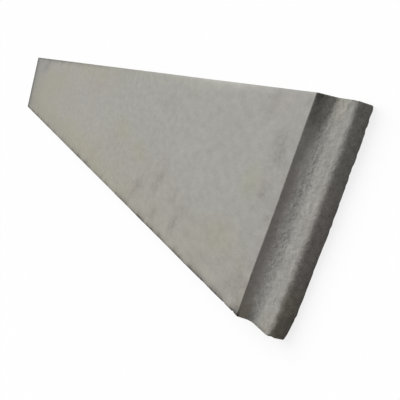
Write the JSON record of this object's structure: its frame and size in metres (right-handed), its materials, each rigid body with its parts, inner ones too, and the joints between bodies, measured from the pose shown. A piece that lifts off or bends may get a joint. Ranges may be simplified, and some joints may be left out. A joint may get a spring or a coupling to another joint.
{
  "type": "concrete gravel board",
  "caption": "Long cast concrete plank for the foot of a fence, smooth on its face, with a stepped tongue across each end that drops into a slotted post.",
  "frame": {"origin": "middle of the flat back, on the surface that the board lies on", "axes": "+X along the board's length, +Y across its width, +Z from the back towards the moulded face"},
  "size_m": [2.4396, 0.305, 0.04],
  "materials": {
    "concrete": "matt grey cast concrete, smooth on the moulded face and trowelled on the back"
  },
  "bodies": {
    "root": {"gravel_board": "concrete"}
  },
  "joints": []
}
